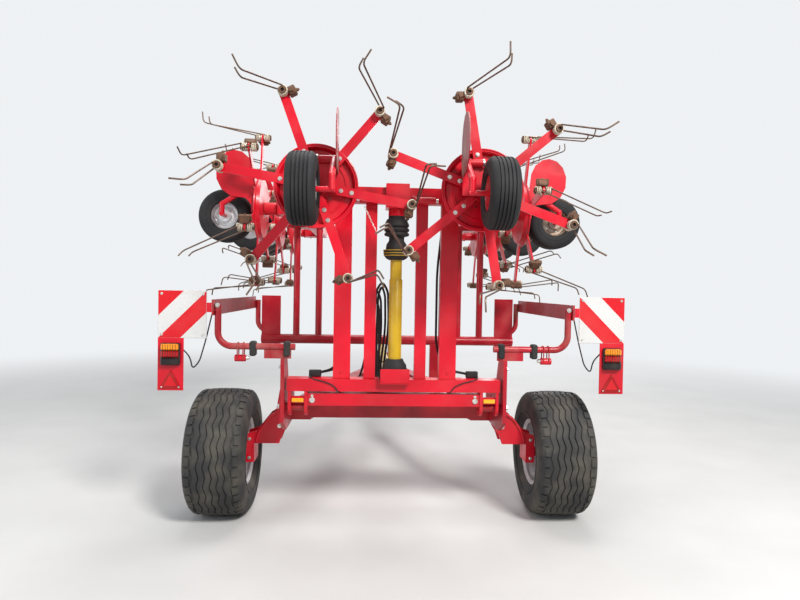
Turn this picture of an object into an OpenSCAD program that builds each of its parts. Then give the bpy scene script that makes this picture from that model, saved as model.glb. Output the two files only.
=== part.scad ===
// Trailed hay tedder with eight tined rotors, stowed on its two-wheeled carriage.
// Frame: millimetres, +Y forwards, +X to the right, +Z up. The ground is z = 0 and the wheel axles are at y = 0.
// The row of rotors is drawn as it works, on the ground behind the carriage, and is then folded and turned up.

/* [Rotor row] */
// Distance between neighbouring rotors
pitch = 1000; // [980:5:1020]
// Height of the row's beam above the ground at work, and of the tilting axle
beam_h = 800; // [790:5:820]
// How far the row lies behind the tilting axle at work
row_back = 1380; // [1370:5:1420]
// Distance from the middle of the machine to a wing's hinge
wing_hinge_x = 700; // [690:1:710]
// How far the tilting axle lies behind the road wheels' axles
tilt_back = 300; // [290:2:320]
// Width of the square beams
beam_w = 100; // [90:5:105]
// Height of a rotor's dish floor above the ground at work
dish_z = 505; // [500:1:510]
// Radius of a rotor's dish
dish_r = 242; // [225:1:250]
// Height of a dish's wall
dish_h = 34; // [28:1:40]
// Thickness of a dish's sheet
dish_t = 5; // [4:0.5:7]

/* [Tines] */
// Radius at which the tine coils sit
coil_at = 580; // [560:5:590]
// Diameter of the tine wire
wire_d = 10; // [9:0.5:12]
// Outer diameter of a coil
coil_d = 62; // [56:1:66]
// Width of a rotor arm
arm_w = 56; // [50:1:64]
// Thickness of a rotor arm
arm_t = 12; // [10:0.5:14]

/* [Ground wheels] */
// Outer diameter of a ground wheel
ground_od = 410; // [400:2:420]
// Width of a ground wheel
ground_w = 165; // [155:1:175]
// Sideways step of a ground wheel from its rotor's axis, outwards
ground_step = 50; // [40:1:55]

/* [Carriage] */
// Distance between the middles of the two road tyres
track = 2310; // [2250:5:2320]
// Outer diameter of a road tyre
tyre_od = 860; // [840:5:880]
// Width of a road tyre
tyre_w = 390; // [370:5:400]
// Diameter of a road wheel's rim
rim_d = 432; // [420:2:440]
// Distance from the middle to a side plate's inner face
side_x = 705; // [700:1:712]
// Thickness of a side plate
side_t = 24; // [18:1:26]
// Distance from the axles forwards to the middle of the hitch eye
hitch_y = 4100; // [4000:10:4300]
// Height of the hitch eye
hitch_z = 520; // [480:5:560]
// Radius of the hitch eye's bore
hitch_r = 25; // [20:0.5:26]

/* [Rear guards] */
// Side of a square warning board
board_w = 300; // [280:2:310]
// Height of a warning board's top edge
board_top = 1545; // [1530:5:1550]
// Distance from the middle to a board's inner edge
board_x = 1190; // [1188:1:1200]
// Distance of the boards behind the axles
board_back = 400; // [380:1:420]

/* [Hidden] */
$fn = 48;
pin_gap = 0.1;          // radial clearance of pins, axles and bores
sides = [-1, 1];

// The machine reaches from the ground wheels' lowest points, stowed, to the hitch eye
eye_r = 52;
mid_y = (hitch_y + eye_r - tilt_back - beam_h)/2;

// Tilting axle
hinge_z = beam_h;
pin_r = 25;
lug_t = 20;
lug_r = 55;
lug_in = side_x - 145;   // inner lug of the swing frame
lug_out = side_x - 40;   // outer lug

// Swing frame
cross_w = 118;
cross_h = 80;
cross_up = 149;          // crossbeam's middle above the tilting axle, stowed
cross_half = side_x - 12;
low_box_h = 78;          // lower box beam between the inner lugs
low_box_gap = 16;
post_x = 345;
post_w = 110;
post_d = 70;
stay_x = 165;
stay_w = 75;
stay_d = 50;

// Wing hinge
knuckle_r = 38;
knuckle_half = 55;
ear_gap = 5;
ear_t = 22;
wing_pin_r = 20;
wing_start = 60;         // from the hinge's pin to the wing beam's end plate
beam_over = 60;          // the beam's length past the last rotor
wall_t = 12;             // end plates

// Gearboxes, posts and wheel legs, all from the beam's middle downwards
rotor_drop = beam_h - dish_z;
box_half = 95;
box_h = 130;
post_r = 30;
arm_top = rotor_drop + dish_h - 4;
arm_low = arm_top + arm_t;
leg_z = arm_low + 23;    // leg plate, just above the ground wheel
axle_z = beam_h - ground_od/2;
leg_in = ground_w/2 - ground_step + 75;   // gooseneck, inwards from the rotor's axis
neck_r = 20;
neck_back = 150;         // gooseneck's root, behind the rotor's axis at work
wheel_ahead = 60;        // ground wheel's axle, ahead of the rotor's axis at work
hub_r = 45;
axle_r = 16;
shield_t = 6;
plate_t = 12;

// Rotor
hub_gap = 6;
boss_r = 62;
arm_count = 6;
arm_root = 120;
bush_r = coil_d/2 - wire_d;   // bush across an arm's end that the coils sit on

// Tine shape in an arm's own axes: outwards, trailing, downwards from the dish floor
tine_low = dish_z - 45;
tines = [
  // start depth, bend out, bend trail, bend depth, hook out, hook trail, hook depth
  [dish_h + 62, 40, 165, tine_low, 80, 10, 8],
  [dish_h - 62, 20, 180, tine_low - 55, 55, 10, 8]
];

// Road wheel
stub_r = 35;
tyre_in = track/2 - tyre_w/2;
axle_h = tyre_od/2;
rim_t = 10;

// Guards
plate_top = hinge_z + 320;
rail_x = board_x - 40;
rail_t = 12;
rail_h = 100;
rail_top = board_top - 55;
rail_front = 1010;
pole_r = 21;
pole_x = rail_x - pole_r - 1;
pole_z = board_top - 350;
pole_bend = 90;
pole_end = 640;
lamp_w = 160;
lamp_low = 330;

// Carrier and drawbar
carrier_y = 1000;
carrier_r = 40;
carrier_z = pole_z - pole_r - carrier_r - 4;
carrier_plate = 370;     // height of the end plates above the cross tube's middle
cradle_gap = 1;
cradle_half = 95;
member_w = 100;
member_h = 130;
member_z = 700;
member_start = 60;
member_end = 2300;
member_meet = 110;
bar_w = 120;
bar_h = 150;
jack_y = 3600;
jack_x = 125;
jack_r = 30;
sleeve_r = 40;
sleeve_low = member_z - 210;
sleeve_top = member_z + 270;
leg_top = sleeve_top - 320;   // leaves room for the leg's travel of 300
foot_t = 14;
foot_r = 95;
shaft_end = hitch_y - 400;
shaft_r = 42;
shaft_z = member_z + 150;
shaft_start = member_start + 20;
boot_end = 60 - tilt_back + 40;
input_r = 17.5;

// Angle of a rotor's first arm, seen from above at work on the right-hand side, so that neighbours mesh
function phase(side, k) = 20 - 10*(k % 2) + (side < 0 ? 30 : 0);
// Sense in which a rotor's tines trail, seen the same way
function trail(k) = k % 2 == 0 ? 1 : -1;
function rotor_x(k) = pitch*(k + 0.5);

// Turns the row from its place at work to its stowed place
module stow() translate([0, -tilt_back, hinge_z]) rotate([-90, 0, 0]) children();
// Draws on the right or, mirrored, on the left
module on_side(side) if (side > 0) children(); else mirror([1, 0, 0]) children();
// Folds a wing up about its hinge, from its place at work
module fold_wing() translate([wing_hinge_x, 0, 0]) rotate([0, -90, 0]) translate([-wing_hinge_x, 0, 0]) children();
// Puts what belongs to rotor k of one side in its stowed place
module at_rotor(side, k) stow() on_side(side) if (k == 0) at_row(0) children(); else fold_wing() at_row(k) children();
module at_row(k) translate([rotor_x(k), -row_back, 0]) children();

// A straight round bar between two points
module bar(a, b, r) {
  v = b - a;
  translate(a) rotate([0, acos(v[2]/norm(v)), atan2(v[1], v[0])]) cylinder(h = norm(v), r = r);
}
// A box between two corners
module block(a, b) translate(a) cube(b - a);
// Puts the middle of the whole machine's length at y = 0
module place() translate([0, -mid_y, 0]) children();

// Rotor: dish, hub and six arms
module dish_profile() {
  lip = 10;
  polygon([
    [post_r + pin_gap, 0], [dish_r - dish_h*0.55, 0], [dish_r - 8, -dish_h + lip], [dish_r + 4, -dish_h],
    [dish_r + 4, -dish_h - dish_t], [dish_r - 10, -dish_h - dish_t + 1], [dish_r - dish_h*0.55 - 6, -dish_t],
    [boss_r, -dish_t], [boss_r, -arm_top + rotor_drop - hub_gap], [post_r + pin_gap, -arm_top + rotor_drop - hub_gap]
  ]);
}
module rotor_body(first) {
  translate([0, 0, -rotor_drop]) rotate_extrude() dish_profile();
  for (i = [0 : arm_count - 1]) rotate([0, 0, first + i*360/arm_count]) {
    difference() {
      union() {
        block([arm_root - 30, -arm_w/2, -arm_low], [coil_at, arm_w/2, -arm_top]);
        translate([coil_at, 0, -arm_low]) cylinder(h = arm_t, r = arm_w/2);
      }
      translate([coil_at, 0, -arm_low - 1]) cylinder(h = arm_t + 2, r = bush_r);
    }
    translate([arm_root + 20, 0, -arm_top - 0.01]) cylinder(h = arm_top - rotor_drop, r = 18);
  }
}
module rotor(side, k) color("crimson") at_rotor(side, k) rotor_body(phase(side, k));

// Tines: a bush across each arm's end, two coils on it, and a hooked leg from each coil
module tine_set(turn) {
  coil_top = rotor_drop + dish_h - 62;
  coil_low = rotor_drop + dish_h + 62;
  translate([coil_at, 0, -coil_low]) cylinder(h = coil_low - coil_top, r = bush_r);
  for (z = [coil_top, coil_low - 44]) translate([coil_at, 0, -z - 44]) cylinder(h = 44, r = coil_d/2);
  for (t = tines) {
    start = [coil_at + coil_d/2 - wire_d/2, 0, -rotor_drop - t[0] + (t[0] > dish_h ? 6 : -6)];
    bend = [coil_at + t[1], turn*t[2], -rotor_drop - t[3]];
    tip = bend + [t[4], turn*t[5], -t[6]];
    bar(start, bend, wire_d/2);
    bar(bend, tip, wire_d/2);
    translate(bend) sphere(r = wire_d/2 + 0.4, $fn = 24);
  }
}
module tine_ring(side, k) color("sienna") at_rotor(side, k)
  for (i = [0 : arm_count - 1]) rotate([0, 0, phase(side, k) + i*360/arm_count]) tine_set(trail(k));

// Ground wheel on its rotor's leg
module ground_profile() {
  r = ground_od/2;
  h = ground_w/2;
  polygon([
    [axle_r + pin_gap, -h + 25], [hub_r, -h + 25], [hub_r, -12], [r*0.5, -12], [r*0.5, -h + 14], [r*0.62, -h],
    [r*0.84, -h], [r*0.96, -h + 20], [r, -h*0.45], [r, h*0.45], [r*0.96, h - 20], [r*0.84, h], [r*0.62, h],
    [r*0.5, h - 14], [r*0.5, 12], [hub_r, 12], [hub_r, h - 25], [axle_r + pin_gap, h - 25]
  ]);
}
module ground_wheel(side, k) color("dimgray") at_rotor(side, k)
  translate([ground_step, wheel_ahead, -axle_z]) rotate([0, 90, 0]) rotate_extrude() ground_profile();

// Leg that carries a ground wheel from a rotor's fixed post: plate, hinge tube, gooseneck and axle
module leg() {
  mid = [-leg_in, wheel_ahead - 75, -axle_z];
  block([-leg_in - 22, -neck_back - 25, -leg_z - plate_t], [post_r + 10, post_r + 10, -leg_z]);
  translate([0, 0, -leg_z]) cylinder(h = leg_z - arm_low - 3, r = post_r + 8);
  bar([-leg_in - 22, -neck_back, -leg_z - plate_t - 18], [-leg_in + 110, -neck_back, -leg_z - plate_t - 18], 22);
  bar([-leg_in, -neck_back, -leg_z - plate_t - 18], mid, neck_r);
  translate(mid) sphere(r = neck_r + 0.6, $fn = 24);
  bar(mid, [-leg_in, wheel_ahead, -axle_z], neck_r);
  bar([-leg_in - neck_r, wheel_ahead, -axle_z], [ground_step + ground_w/2 - 20, wheel_ahead, -axle_z], axle_r);
}
// Crop shield beside the ground wheel, in the table [behind the gooseneck's root, below the leg plate]
shield_edge = [
  [-90, -30], [-50, 4], [60, 8], [150, -2], [215, -32], [258, -84], [270, -140], [252, -200],
  [205, -248], [135, -275], [50, -272], [-25, -235], [-75, -165]
];
module shield() translate([-leg_in - 22 - shield_t, 0, 0]) rotate([90, 0, 90]) linear_extrude(shield_t)
  polygon([for (p = shield_edge) [-neck_back - p[0], p[1] - leg_z]]);
// Gearbox under the beam with the fixed post that the rotor turns on
module gearbox() {
  block([-box_half, -beam_w/2, -beam_w/2 - box_h], [box_half, beam_w/2, -beam_w/2 + 1]);
  translate([0, 0, -rotor_drop + hub_gap]) cylinder(h = rotor_drop - hub_gap - beam_w/2, r = beam_w/2 - 1);
  translate([0, 0, -arm_low - 3]) cylinder(h = arm_low, r = post_r);
}

// Toolbar across the middle, with the forks of the wing hinges
module toolbar() color("firebrick") stow() {
  end = wing_hinge_x - wing_start;
  block([-end, -row_back - beam_w/2, -beam_w/2], [end, -row_back + beam_w/2, beam_w/2]);
  for (s = sides) on_side(s) {
    at_row(0) gearbox();
    translate([0, -row_back, 0]) {
      for (e = [-1, 1]) {
        y = e*(knuckle_half + ear_gap + ear_t/2);
        block([end - wall_t, y - ear_t/2, -knuckle_r - 4], [wing_hinge_x, y + ear_t/2, knuckle_r + 4]);
        translate([wing_hinge_x, y + ear_t/2, 0]) rotate([90, 0, 0]) cylinder(h = ear_t, r = knuckle_r + 4);
      }
      reach = knuckle_half + ear_gap + ear_t;
      block([end - wall_t, -reach, -beam_w/2], [end, reach, beam_w/2]);
      translate([wing_hinge_x, reach + 10, 0]) rotate([90, 0, 0]) cylinder(h = 2*reach + 20, r = wing_pin_r);
    }
  }
  translate([0, -row_back, 0]) block([-75, -70, -90], [75, 85, 62]);
}

// Wing beam with its knuckle and three gearboxes
module wing_beam(side) color("firebrick") stow() on_side(side) fold_wing() {
  start = wing_hinge_x + wing_start;
  translate([0, -row_back, 0]) {
    difference() {
      union() {
        block([wing_hinge_x, -knuckle_half, -knuckle_r + 3], [start + wall_t, knuckle_half, knuckle_r - 3]);
        translate([wing_hinge_x, knuckle_half, 0]) rotate([90, 0, 0]) cylinder(h = 2*knuckle_half, r = knuckle_r);
      }
      translate([wing_hinge_x, knuckle_half + 1, 0]) rotate([90, 0, 0])
        cylinder(h = 2*knuckle_half + 2, r = wing_pin_r + pin_gap);
    }
    block([start, -beam_w/2, -beam_w/2], [rotor_x(3) + beam_over, beam_w/2, beam_w/2]);
  }
  for (k = [1 : 3]) at_row(k) gearbox();
}
module wing_legs(side) color("crimson") stow() on_side(side) fold_wing() for (k = [1 : 3]) at_row(k) leg();
module wing_shields(side) color("firebrick") stow() on_side(side) fold_wing() for (k = [1 : 3]) at_row(k) shield();
module legs_inner() color("crimson") stow() for (s = sides) on_side(s) at_row(0) leg();
module shields_inner() color("firebrick") stow() for (s = sides) on_side(s) at_row(0) shield();

// Swing frame: crossbeam and box beam on the tilting axle, two posts and two stays up to the toolbar
module swing_frame() color("crimson") translate([0, -tilt_back, hinge_z]) {
  low = cross_up - cross_h/2;
  top = cross_up + cross_h/2;
  under = row_back - beam_w/2;
  block([-cross_half, -cross_w/2, low], [cross_half, cross_w/2, top]);
  block([-lug_in - 1, -cross_w/2 + 12, low - low_box_gap - low_box_h], [lug_in + 1, cross_w/2 - 12, low - low_box_gap]);
  for (s = sides) on_side(s) {
    for (x = [lug_in, lug_out]) difference() {
      union() {
        translate([x, 0, 0]) rotate([0, 90, 0]) cylinder(h = lug_t, r = lug_r);
        block([x, -lug_r, 0], [x + lug_t, lug_r, low + 1]);
      }
      translate([x - 1, 0, 0]) rotate([0, 90, 0]) cylinder(h = lug_t + 2, r = pin_r + pin_gap);
    }
    block([post_x - post_w/2, -post_d/2, top - 1], [post_x + post_w/2, post_d/2, under]);
    block([stay_x - stay_w/2, -stay_d/2, top - 1], [stay_x + stay_w/2, stay_d/2, under]);
  }
}

// Drive up the swing frame: yellow guard tube between a black cone and a black bellows
cone_low = cross_up + cross_h/2;
cone_h = 130;
boot_h = 330;
boot_top = row_back - 85;
module drive_guard() color("gold") translate([0, -tilt_back, hinge_z + cone_low + cone_h])
  cylinder(h = boot_top - boot_h - cone_low - cone_h, r = 43);
module drive_boots() color("black") translate([0, -tilt_back, hinge_z]) {
  translate([0, 0, cone_low]) cylinder(h = cone_h, r1 = 100, r2 = 55);
  translate([0, 0, boot_top - boot_h]) cylinder(h = boot_h, r1 = 85, r2 = 70);
}

// Side frame: plate and pin at the tilting axle, and the member that runs in to the drawbar
module side_frame(side) color("firebrick") on_side(side) {
  translate([side_x, 0, 0]) rotate([90, 0, 90]) linear_extrude(side_t) polygon([
    [-tilt_back - 90, hinge_z - 90], [-tilt_back - 90, plate_top], [-tilt_back + 60, plate_top],
    [-tilt_back + 160, hinge_z + 110], [180, hinge_z + 20], [180, member_z - member_h/2],
    [-tilt_back + 60, member_z - member_h/2]
  ]);
  translate([lug_in + 3, -tilt_back, hinge_z]) rotate([0, 90, 0]) cylinder(h = side_x - lug_in - 2, r = pin_r);
  translate([0, 0, member_z - member_h/2]) linear_extrude(member_h) polygon([
    [side_x, member_start], [side_x, member_start + 140], [member_meet, member_end],
    [bar_w/2, member_end], [bar_w/2, member_end - 160], [side_x - member_w - 30, member_start]
  ]);
}

// Wheel arm: a braced plate from the side plate down to the stub axle
module wheel_arm(side) color("crimson") on_side(side) {
  in_x = side_x + side_t;
  out_x = tyre_in + 45;
  web_x = in_x + 60;
  for (y = [-80, 60]) translate([0, y + 20, 0]) rotate([90, 0, 0]) linear_extrude(20) polygon([
    [in_x, hinge_z + 70], [in_x + 46, hinge_z + 70], [in_x + 70, hinge_z - 80], [in_x + 120, hinge_z - 110],
    [tyre_in - 30, axle_h + 155], [out_x, axle_h + 130], [out_x, axle_h - 60], [out_x - 60, axle_h - 60],
    [out_x - 60, axle_h + 70], [in_x + 46, axle_h + 70], [in_x + 26, axle_h + 130], [in_x, axle_h + 170]
  ]);
  block([out_x - 60, -61, axle_h - 60], [out_x, 61, axle_h + 60]);
  block([web_x, -61, axle_h + 70], [web_x + 12, 61, hinge_z - 90]);
  translate([out_x - 60, 0, axle_h]) rotate([0, 90, 0]) cylinder(h = track/2 + 60 - out_x + 60, r = stub_r);
  block([in_x, -61, hinge_z - 60], [in_x + 14, 61, hinge_z]);
}

// Road wheel
module tyre(side) color("dimgray") on_side(side) translate([track/2, 0, axle_h]) rotate([0, 90, 0]) rotate_extrude() {
  r = tyre_od/2;
  h = tyre_w/2;
  polygon([
    [rim_d/2, -h + 45], [rim_d/2 + 30, -h + 20], [r*0.72, -h], [r*0.86, -h], [r*0.96, -h + 22], [r - 2, -h + 60],
    [r, 0], [r - 2, h - 60], [r*0.96, h - 22], [r*0.86, h], [r*0.72, h], [rim_d/2 + 30, h - 20], [rim_d/2, h - 45]
  ]);
}
module rim(side) color("silver") on_side(side) translate([track/2, 0, axle_h]) rotate([0, 90, 0]) rotate_extrude() {
  r = rim_d/2;
  h = tyre_w/2 - 45;
  polygon([
    [stub_r + pin_gap, -60], [85, -60], [85, -10], [r*0.7, 0], [r - 30, 0], [r - rim_t - 2, -h + 30], [r - rim_t, -h],
    [r, -h], [r, h], [r - rim_t, h], [r - rim_t - 2, h - 30], [r - 30, 14], [r*0.7, 14], [85, 4], [85, 70],
    [stub_r + pin_gap, 70]
  ]);
}

// Drawbar with the hitch eye, the jack's sleeve and the bearing blocks of the line shaft
module drawbar() color("firebrick") {
  top = member_z + bar_h/2;
  bend = hitch_y - 500;
  difference() {
    union() {
      block([-bar_w/2, member_end - 200, member_z - bar_h/2], [bar_w/2, bend, top]);
      translate([-bar_w/2, 0, 0]) rotate([90, 0, 90]) linear_extrude(bar_w) polygon([
        [bend, top], [hitch_y - 70, hitch_z + 45], [hitch_y - 70, hitch_z - 45], [bend, member_z - bar_h/2]
      ]);
      block([-30, hitch_y - 90, hitch_z - 15], [30, hitch_y - 30, hitch_z + 15]);
      translate([0, hitch_y, hitch_z - 15]) cylinder(h = 30, r = eye_r);
    }
    translate([0, hitch_y, hitch_z - 16]) cylinder(h = 32, r = hitch_r);
  }
  difference() {
    union() {
      block([0, jack_y - 40, member_z - 40], [jack_x, jack_y + 40, member_z + 40]);
      translate([jack_x, jack_y, sleeve_low]) cylinder(h = sleeve_top - sleeve_low, r = sleeve_r);
    }
    translate([jack_x, jack_y, sleeve_low - 1]) cylinder(h = sleeve_top - sleeve_low - 10, r = jack_r + pin_gap);
  }
  for (y = [member_end, bend - 250]) block([-35, y - 20, top - 1], [35, y + 20, shaft_z - shaft_r]);
}
module jack_leg() color("silver") translate([jack_x, jack_y, 0]) {
  cylinder(h = foot_t, r = foot_r);
  cylinder(h = leg_top, r = jack_r);
}
// Yellow guard tube of the drive along the drawbar
module line_shaft() color("gold") translate([0, shaft_start, shaft_z]) rotate([-90, 0, 0])
  cylinder(h = shaft_end - shaft_start, r = shaft_r);
// Joint between the line shaft and the swing frame's drive, in its black boot, with the bare input end in front
module drive_joint() color("black") {
  translate([0, boot_end, shaft_z]) rotate([-90, 0, 0]) cylinder(h = shaft_start - boot_end, r1 = 55, r2 = 80);
  translate([0, shaft_end, shaft_z]) rotate([-90, 0, 0]) cylinder(h = 130, r = input_r);
}
// Cross member between the two long members, with the seat of the line shaft
module cross_member() color("firebrick") {
  wide = side_x - member_w - 30;
  long = member_end - 160 - member_start;
  narrow = wide - 100*(wide - bar_w/2)/long;
  translate([0, 0, member_z - 50]) linear_extrude(100) polygon([
    [-wide, member_start], [wide, member_start], [narrow, member_start + 100], [-narrow, member_start + 100]
  ]);
  block([-45, shaft_start + 10, member_z + 49], [45, shaft_start + 50, shaft_z - shaft_r]);
}

// Carrier: cross tube on the members, cradle posts under the wing beams and plates for the guards
module carrier() color("firebrick") {
  seat = hinge_z + row_back - beam_w/2 - cradle_gap;
  end = rail_x - 60;
  translate([-end, carrier_y, carrier_z]) rotate([0, 90, 0]) cylinder(h = 2*end, r = carrier_r);
  reach = (carrier_y - member_start)/(member_end - member_start);
  foot = side_x - member_w/2 - reach*(side_x - member_meet);
  for (s = sides) on_side(s) {
    block([foot - 40, carrier_y - 30, member_z + member_h/2], [foot + 40, carrier_y + 30, carrier_z]);
    for (x = [wing_hinge_x - cradle_half, wing_hinge_x + cradle_half])
      translate([x, carrier_y, carrier_z]) cylinder(h = seat - 40 - carrier_z, r = 28);
    block([wing_hinge_x - cradle_half - 35, carrier_y - 45, seat - 41],
          [wing_hinge_x + cradle_half + 35, carrier_y + 45, seat]);
    block([end - 160, carrier_y - 8, carrier_z - 60], [end, carrier_y + 8, carrier_z + carrier_plate]);
  }
}

// Guard: long rail at the tine tips with its two bent poles
module pole(start) {
  top = rail_top - 30;
  bar([start, 0, pole_z], [pole_x - pole_bend, 0, pole_z], pole_r);
  translate([pole_x - pole_bend, 0, pole_z + pole_bend]) rotate([90, 0, 0]) rotate([0, 0, -90])
    rotate_extrude(angle = 90) translate([pole_bend, 0]) circle(r = pole_r);
  bar([pole_x, 0, pole_z + pole_bend], [pole_x, 0, top], pole_r);
  block([pole_x, -10, rail_top - 70], [rail_x + 1, 10, rail_top - 45]);
}
module guard(side) color("crimson") on_side(side) {
  front = carrier_y + 8 + pole_r;
  block([rail_x, -board_back, rail_top - rail_h], [rail_x + rail_t, rail_front + 30, rail_top]);
  translate([0, 30 - board_back, 0]) {
    pole(pole_end);
    block([side_x - 40, -8, plate_top], [side_x + 130, 8, pole_z - pole_r + 1]);
  }
  translate([0, front, 0]) pole(rail_x - 200);
  block([rail_x - 170, front - pole_r, pole_z - pole_r + 2], [rail_x - 140, front + pole_r + 6, pole_z + 30]);
}

// Warning board on its plate, with the lamp and the reflector
module board(side) color("red") on_side(side) {
  t = 6;
  back = -board_back;
  low = board_top - board_w;
  block([board_x, back - t, low], [board_x + board_w, back, board_top]);
  block([board_x + board_w - lamp_w, back - t, low - lamp_low], [board_x + board_w, back, low + 1]);
  block([rail_x + rail_t, back - t, rail_top - 80], [board_x + 1, back, rail_top - 20]);
  block([board_x + board_w - lamp_w + 18, back - t - 40, low - 170], [board_x + board_w - 22, back - t + 1, low - 30]);
}

place() side_frame(-1);  // side_frame_left
place() side_frame(1);  // side_frame_right
place() wheel_arm(-1);  // wheel_arm_left
place() wheel_arm(1);  // wheel_arm_right
place() drawbar();
place() cross_member();
place() carrier();
place() line_shaft();
place() drive_joint();
place() jack_leg();
place() tyre(-1);  // tyre_left
place() tyre(1);  // tyre_right
place() rim(-1);  // rim_left
place() rim(1);  // rim_right
place() guard(-1);  // guard_left
place() guard(1);  // guard_right
place() board(-1);  // board_left
place() board(1);  // board_right
place() swing_frame();
place() toolbar();
place() drive_guard();
place() drive_boots();
place() legs_inner();
place() shields_inner();
place() wing_beam(-1);  // wing_beam_left
place() wing_beam(1);  // wing_beam_right
place() wing_legs(-1);  // wing_legs_left
place() wing_legs(1);  // wing_legs_right
place() wing_shields(-1);  // wing_shields_left
place() wing_shields(1);  // wing_shields_right
place() rotor(-1, 0);  // rotor_left_1
place() rotor(-1, 1);  // rotor_left_2
place() rotor(-1, 2);  // rotor_left_3
place() rotor(-1, 3);  // rotor_left_4
place() rotor(1, 0);  // rotor_right_1
place() rotor(1, 1);  // rotor_right_2
place() rotor(1, 2);  // rotor_right_3
place() rotor(1, 3);  // rotor_right_4
place() tine_ring(-1, 0);  // tines_left_1
place() tine_ring(-1, 1);  // tines_left_2
place() tine_ring(-1, 2);  // tines_left_3
place() tine_ring(-1, 3);  // tines_left_4
place() tine_ring(1, 0);  // tines_right_1
place() tine_ring(1, 1);  // tines_right_2
place() tine_ring(1, 2);  // tines_right_3
place() tine_ring(1, 3);  // tines_right_4
place() ground_wheel(-1, 0);  // ground_wheel_left_1
place() ground_wheel(-1, 1);  // ground_wheel_left_2
place() ground_wheel(-1, 2);  // ground_wheel_left_3
place() ground_wheel(-1, 3);  // ground_wheel_left_4
place() ground_wheel(1, 0);  // ground_wheel_right_1
place() ground_wheel(1, 1);  // ground_wheel_right_2
place() ground_wheel(1, 2);  // ground_wheel_right_3
place() ground_wheel(1, 3);  // ground_wheel_right_4
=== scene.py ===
"""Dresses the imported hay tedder: materials on its solids, and the detailed pieces that the solids leave plain.

Metres, +Y forwards, +X to the right, +Z up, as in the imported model.
"""
import math
import bpy
from mathutils import Matrix, Vector


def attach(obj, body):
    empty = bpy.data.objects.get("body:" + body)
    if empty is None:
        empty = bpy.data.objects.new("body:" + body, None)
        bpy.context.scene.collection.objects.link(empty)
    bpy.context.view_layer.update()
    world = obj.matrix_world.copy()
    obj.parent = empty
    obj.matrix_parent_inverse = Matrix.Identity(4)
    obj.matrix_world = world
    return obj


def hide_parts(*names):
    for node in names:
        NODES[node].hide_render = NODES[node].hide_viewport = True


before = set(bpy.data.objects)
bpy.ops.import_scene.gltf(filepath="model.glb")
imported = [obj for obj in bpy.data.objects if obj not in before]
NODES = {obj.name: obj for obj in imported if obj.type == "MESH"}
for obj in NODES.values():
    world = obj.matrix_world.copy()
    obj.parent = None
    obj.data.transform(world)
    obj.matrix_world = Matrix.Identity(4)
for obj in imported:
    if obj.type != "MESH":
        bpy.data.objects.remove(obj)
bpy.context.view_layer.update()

SIDES = {"left": -1, "right": 1}

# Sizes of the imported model, whose y is the source's y less MID_Y, and of the cords on it
MID_Y = 1.526
TILT_Y, TILT_Z = -0.3 - MID_Y, 0.8                        # tilting axle
ROW_BACK, PITCH, WING_X = 1.38, 1.0, 0.7                  # row's beam over the axle, rotors' spacing, wing hinges
CROSS_TOP, LOW_BEAM_Z = 0.19, 0.05                        # crossbeam and box beam, over the tilting axle
CROSS_BACK, POST_BACK, STAY_BACK = 0.06, 0.035, 0.025     # rear faces, behind the tilting axle
POST_X, POST_W, STAY_X, STAY_W = 0.345, 0.11, 0.165, 0.075  # the swing frame's two posts and the stays between
VALVE_X = 0.52                                            # valve blocks on the crossbeam
DISH_R, DISH_H, ROTOR_DROP = 0.242, 0.034, 0.295          # the drop is under the row's beam
COIL_AT, COIL_R, WIRE_R, BUSH_R = 0.58, 0.031, 0.005, 0.021
ARM_COUNT, ARM_T, ARM_TOP = 6, 0.012, 0.325               # the top is under the row's beam
GROUND_R, GROUND_W = 0.205, 0.165
GROUND_STEP, WHEEL_AHEAD, AXLE_DROP = 0.05, 0.06, 0.595   # ground wheel's centre from its rotor's place on the beam
TRACK, TYRE_R, TYRE_W, RIM_R = 2.31, 0.43, 0.39, 0.216
SHAFT_Z, SHAFT_R, SHAFT_START, SHAFT_END = 0.85, 0.042, 0.08, 3.7
MEMBER_TOP, DRAWBAR_TOP = 0.765, 0.775                    # upper faces of long members and drawbar
JACK_X, JACK_Y, JACK_TOP = 0.125, 3.6, 0.97
BOARD_X, BOARD_W, BOARD_TOP, BOARD_Y = 1.19, 0.3, 1.545, -0.4 - MID_Y
LAMP_W, LAMP_LOW = 0.16, 0.33                             # lamp plate's width and reach under the board
RAIL_OUT, POLE_DROP = 1.164, 0.35                         # rail's outer face, pole under the boards' top
HOSE_R, POST_HOSE_R, CABLE_R, THIN_CABLE_R = 0.0085, 0.008, 0.0045, 0.004
# A tine leg: start under the dish's top, bend (further out, trailing, depth), hook (out, trailing, down)
TINES = [(DISH_H + 0.062, 0.040, 0.165, 0.46, 0.080, 0.010, 0.008),
         (DISH_H - 0.062, 0.020, 0.180, 0.405, 0.055, 0.010, 0.008)]

# Camera fitted to the photo: focal length and width in its pixels, place, and turns in degrees
FOCAL_PX, PHOTO_W, SENSOR = 604, 800, 36
EYE_AT = (-0.18, -4.254 - MID_Y, 1.581)
PAN, LOOK_DOWN, ROLL = -3.03, 1.11, 1.01
BACKDROP = (0.86, 0.88, 0.9, 1)


# Camera, light and stage
def setup_view():
    """The photo's camera."""
    cam = bpy.data.cameras.new("camera")
    cam.lens = FOCAL_PX / PHOTO_W * SENSOR
    cam.sensor_width = SENSOR
    cam.clip_end = 100
    eye = bpy.data.objects.new("camera", cam)
    eye.location = EYE_AT
    eye.rotation_euler = (rotation("Z", PAN) @ rotation("X", 90 - LOOK_DOWN) @ rotation("Z", ROLL)).to_euler()
    bpy.context.scene.collection.objects.link(eye)
    bpy.context.scene.camera = eye


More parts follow.
